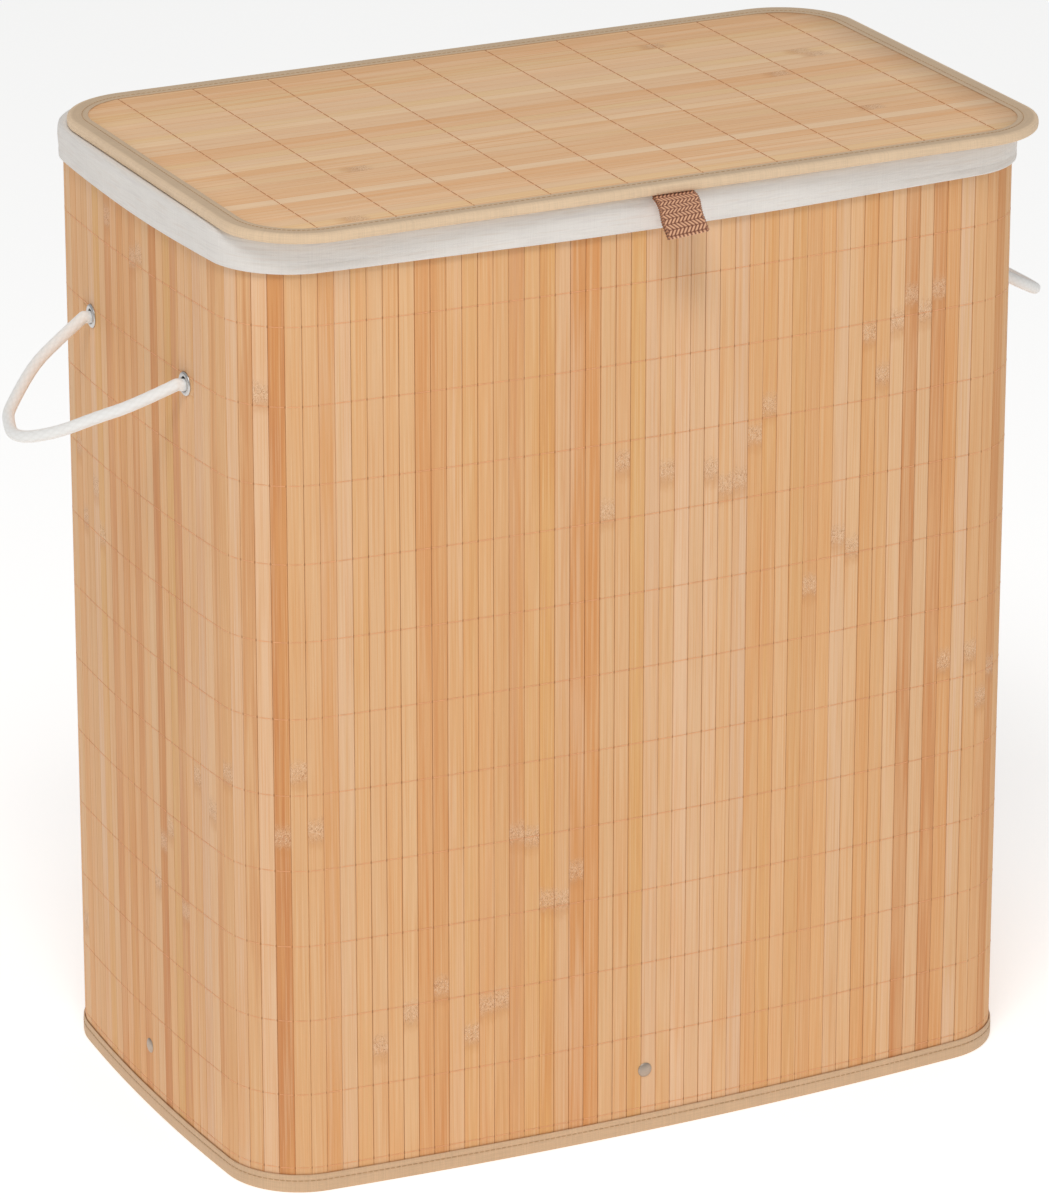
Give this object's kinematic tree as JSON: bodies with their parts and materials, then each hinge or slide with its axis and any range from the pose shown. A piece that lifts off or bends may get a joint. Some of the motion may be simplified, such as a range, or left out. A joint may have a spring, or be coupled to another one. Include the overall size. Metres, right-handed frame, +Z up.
{
  "type": "laundry hamper",
  "caption": "Upright laundry hamper with rounded corners, stitched bamboo slat walls, cotton liner cuff, rope side handles and a flat slatted lid on a cloth hinge.",
  "frame": {"origin": "middle of the bottom panel's underside, level with the floor that the hamper stands on", "axes": "+Z up, -Y towards the front, where the pull tab is, +X towards the right rope handle as seen from the front"},
  "size_m": [0.7062, 0.3696, 0.6205],
  "materials": {
    "bamboo": "satin natural bamboo slats with upright grain",
    "bamboo_lid": "satin natural bamboo slats with lengthwise grain",
    "backing_cloth": "thin non-woven backing cloth",
    "stitching_thread": "fine orange-brown thread",
    "binding_tape": "woven beige binding tape",
    "steel_wire": "plain drawn wire",
    "fibreboard": "thin brown fibreboard",
    "rivet_metal": "dull nickel-plated",
    "eyelet_metal": "nickel-plated",
    "liner_cotton": "off-white plain-weave cotton",
    "rope_cotton": "soft braided off-white cotton rope",
    "hinge_cloth": "woven beige strip",
    "webbing": "copper-brown herringbone webbing"
  },
  "bodies": {
    "body": {"front_slats": "bamboo", "right_slats": "bamboo", "back_slats": "bamboo", "left_slats": "bamboo", "wall_backing": "backing_cloth", "wall_stitching": "stitching_thread", "bottom_binding": "binding_tape", "top_binding": "binding_tape", "back_seam_tape": "binding_tape", "rim_wire": "steel_wire", "base_cloth": "backing_cloth", "base_board": "fibreboard", "base_tabs": "binding_tape", "base_rivets": "rivet_metal", "base_rivet_washers": "rivet_metal", "cotton_liner": "liner_cotton", "left_eyelets": "eyelet_metal", "left_eyelet_washers": "eyelet_metal", "left_rope_knots": "rope_cotton", "right_eyelets": "eyelet_metal", "right_eyelet_washers": "eyelet_metal", "right_rope_knots": "rope_cotton", "hinge_body_leaf": "hinge_cloth"},
    "lid": {"lid_lining": "liner_cotton", "lid_board": "fibreboard", "lid_slats": "bamboo_lid", "lid_stitching": "stitching_thread", "lid_binding": "binding_tape", "pull_tab": "webbing", "hinge_lid_leaf": "hinge_cloth"},
    "left_handle": {"left_rope": "rope_cotton"},
    "right_handle": {"right_rope": "rope_cotton"}
  },
  "joints": [
    {"name": "lid_hinge", "type": "hinge", "parent": "body", "child": "lid", "pos_m": [0, 0.1495, 0.6144], "axis": [-1, 0, 0], "range_deg": [0, 110]},
    {"name": "left_handle_swing", "type": "hinge", "parent": "body", "child": "left_handle", "pos_m": [-0.27448, 0, 0.5035], "axis": [0, 1, 0], "range_deg": [-48, 103]},
    {"name": "right_handle_swing", "type": "hinge", "parent": "body", "child": "right_handle", "pos_m": [0.27448, 0, 0.5035], "axis": [0, -1, 0], "range_deg": [-48, 103]}
  ]
}
